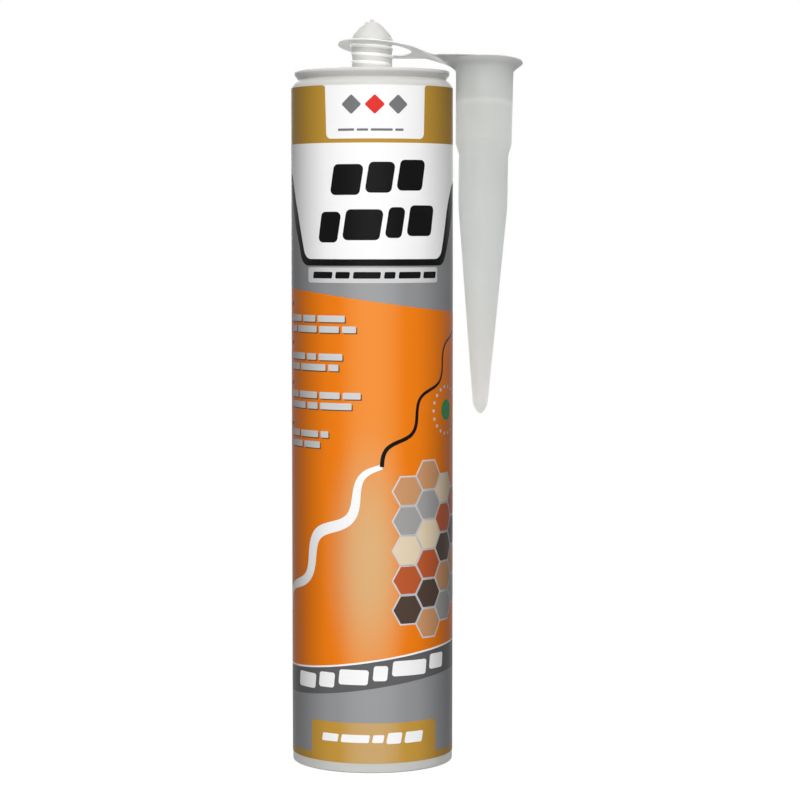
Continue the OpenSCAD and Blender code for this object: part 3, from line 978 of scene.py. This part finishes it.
def tether_mesh(s):
    """The ring and strap as one closed sheet of even thickness, in mm, in the ring's frame."""
    ring_x, ring, hole, mouth, flange = sizes(s, "ring_x", "ring", "ring_hole", "mouth_x", "flange")
    strap, inset = mm(s, "strap"), mm(s, "skirt") + 0.5
    waist, tongue = Vector(sizes(s, "waist_x", "waist")), Vector(sizes(s, "tongue_x", "tongue"))
    start = touch(ring_x, ring, waist)
    outline = arc(ring_x, 0, ring, start, 360 - start, 72)
    side = softened([(waist.x - 0.1, waist.y + 0.1, 0), (*waist, 0.8), (*tongue, 0.8), (mouth, flange - 0.3, 0)])[1:]
    outline += [Vector((p.x, -p.y)) for p in side]
    outline += arc(mouth, 0, inset, 270, 90, 24)
    outline += side[::-1]
    inner = arc(ring_x, 0, hole, 0, 355, 71)
    loops = [[Vector((p.x, p.y, 0)) for p in loop] for loop in (outline, inner)]
    along = Vector((math.cos(s.bend_turn), -math.sin(s.bend_turn), 0))
    bm, top = thick_sheet([loops], along, CUT_STEP, 1e-5)
    top = set(top)
    for vert in bm.verts:
        vert.co.z = strap_height(s, vert.co.dot(along)) + (strap / 2 if vert in top else -strap / 2)
    bmesh.ops.recalc_face_normals(bm, faces=bm.faces)
    edges = [e for e in bm.edges if len(e.link_faces) == 2 and e.calc_face_angle() > math.radians(60)]
    bmesh.ops.bevel(bm, geom=edges, offset=0.14, segments=2, profile=0.5, affect="EDGES")
    place = ring_matrix(s)
    for vert in bm.verts:
        vert.co = (place @ vert.co) * MM
    return placed("tether", fill(bpy.data.meshes.new("tether"), bm))


class CARTRIDGE_OT_nozzle(bpy.types.Operator):
    """Hanging nozzle with its flange, strap and ring, as one translucent moulding"""

    bl_idname = "cartridge.nozzle"
    bl_label = "Nozzle"

    def execute(self, context):
        s = settings("nozzle")
        body = mesh_object("nozzle_shell", *revolved(applicator_profile(s), 128), hang_matrix(s))
        tether = tether_mesh(s)
        joined = body.modifiers.new("strap", "BOOLEAN")
        joined.operation = "UNION"
        joined.solver = "MANIFOLD"
        joined.object = tether
        plain_mesh(body)
        bpy.data.objects.remove(tether)
        dress(body, nozzle_plastic(), "nozzle", "nozzle_plastic", "nozzle", sharp=25)
        return {"FINISHED"}


class CARTRIDGE_OT_socket_thread(bpy.types.Operator):
    """Thread inside the nozzle's socket"""

    bl_idname = "cartridge.socket_thread"
    bl_label = "Socket thread"

    def execute(self, context):
        s = settings("nozzle")
        rib, turns, pitch = 0.5, 3.4, mm(settings("tube"), "pitch")
        radius, foot = mm(s, "socket") - 0.05, (0, 0, -2.2 - turns * pitch)
        place = hang_matrix(s)
        add_thread("socket_thread", turns, radius, pitch, rib, foot, "nozzle", "nozzle_plastic", place)
        return {"FINISHED"}


def sun(name, azimuth, elevation, share, width):
    """A wide sun, its angles in degrees, that lights a facing surface to a share of full brightness."""
    data = bpy.data.lights.new(name, "SUN")
    data.energy = share * math.pi
    data.angle = math.radians(width)
    a, e = math.radians(azimuth), math.radians(elevation)
    back = Vector((math.sin(a) * math.cos(e), -math.cos(a) * math.cos(e), math.sin(e)))
    aim(placed(name, data), back.to_track_quat("Z", "Y"))


def aim(obj, rotation):
    obj.rotation_mode = "QUATERNION"
    obj.rotation_quaternion = rotation


def seen_white(board):
    """1 where the camera, a reflection or a look through plastic meets the background."""
    path = board.add("ShaderNodeLightPath").outputs
    first = board.maths("MAXIMUM", path["Is Camera Ray"], path["Is Glossy Ray"])
    return board.maths("MAXIMUM", first, path["Is Transmission Ray"])


class CARTRIDGE_OT_stage(bpy.types.Operator):
    """Pale floor, white background, soft light and the camera"""

    bl_idname = "cartridge.stage"
    bl_label = "Stage"

    def execute(self, context):
        s = settings("stage")
        scene = context.scene
        scene.view_settings.view_transform = "Standard"
        world = bpy.data.worlds.new("studio")
        world.use_nodes = True
        board = Board(world.node_tree)
        strength = board.add("ShaderNodeMix", {"Factor": seen_white(board), "A": s.world, "B": 1.0})
        board.wire(board.nodes["Background"], {"Color": (1, 1, 1, 1), "Strength": strength.outputs["Result"]})
        scene.world = world
        sun("key", -1, 12, s.key, 50)
        sun("top", 0, 80, s.top, 60)
        sun("rear", 180, 15, s.rear, 40)
        self.floor()
        data = bpy.data.cameras.new("camera")
        data.lens = s.lens
        data.sensor_width = 36
        data.clip_start, data.clip_end = 0.01, 50
        camera = placed("camera", data)
        level_run = math.cos(s.pitch)
        forward = Vector((math.sin(s.yaw) * level_run, math.cos(s.yaw) * level_run, -math.sin(s.pitch)))
        camera.location = (s.camera_x, s.camera_y, s.camera_z)
        aim(camera, forward.to_track_quat("-Z", "Y"))
        scene.camera = camera
        return {"FINISHED"}

    def floor(self):
        """Grey to the light; where it is seen it glows to white away from the object, so its shadow stays."""
        material, board, shader = new_material("floor")
        seen = seen_white(board)
        size = board.vectors("LENGTH", board.place())["Value"]
        away = board.spread(size, (0.03, 0.16), interpolation_type="SMOOTHSTEP")
        board.wire(shader, {
            "Base Color": board.mixed(seen, (0.15, 0.15, 0.15, 1), (0.6, 0.6, 0.6, 1)), "Roughness": 0.9,
            "Specular IOR Level": 0.1, "Emission Color": (1, 1, 1, 1),
            "Emission Strength": board.maths("MULTIPLY", seen, 0.66),
        })
        board.blend(board.maths("MULTIPLY", away, seen), shader, board.add("ShaderNodeEmission"))
        half = 4000
        verts = [(-half, -half, -0.05), (half, -half, -0.05), (half, half, -0.05), (-half, half, -0.05)]
        mesh = bpy.data.meshes.new("floor")
        mesh.from_pydata([Vector(v) * MM for v in verts], [], [(0, 1, 2, 3)])
        mesh.materials.append(material)
        placed("floor", mesh)


STEPS = (
    CARTRIDGE_OT_tube, CARTRIDGE_OT_neck_thread, CARTRIDGE_OT_label, CARTRIDGE_OT_label_words,
    CARTRIDGE_OT_label_motifs, CARTRIDGE_OT_piston, CARTRIDGE_OT_paste, CARTRIDGE_OT_nozzle,
    CARTRIDGE_OT_socket_thread, CARTRIDGE_OT_stage,
)


class CARTRIDGE_PT_panel(bpy.types.Panel):
    """Lists the steps in the order in which they are run"""

    bl_idname = "CARTRIDGE_PT_panel"
    bl_label = "Sealant cartridge"
    bl_space_type = "VIEW_3D"
    bl_region_type = "UI"
    bl_category = "Cartridge"

    def draw(self, context):
        for step in STEPS:
            self.layout.operator(step.bl_idname)


GROUPS = {"tube": TubeSettings, "nozzle": NozzleSettings, "label": LabelSettings, "stage": StageSettings}


def register():
    for cls in (*GROUPS.values(), *STEPS, CARTRIDGE_PT_panel):
        bpy.utils.register_class(cls)
    for name, cls in GROUPS.items():
        setattr(bpy.types.Scene, "cartridge_" + name, PointerProperty(type=cls))


def unregister():
    for name in GROUPS:
        delattr(bpy.types.Scene, "cartridge_" + name)
    for cls in reversed((*GROUPS.values(), *STEPS, CARTRIDGE_PT_panel)):
        bpy.utils.unregister_class(cls)


def main():
    register()
    for step in STEPS:
        group, name = step.bl_idname.split(".")
        getattr(getattr(bpy.ops, group), name)()


if __name__ == "__main__":
    main()
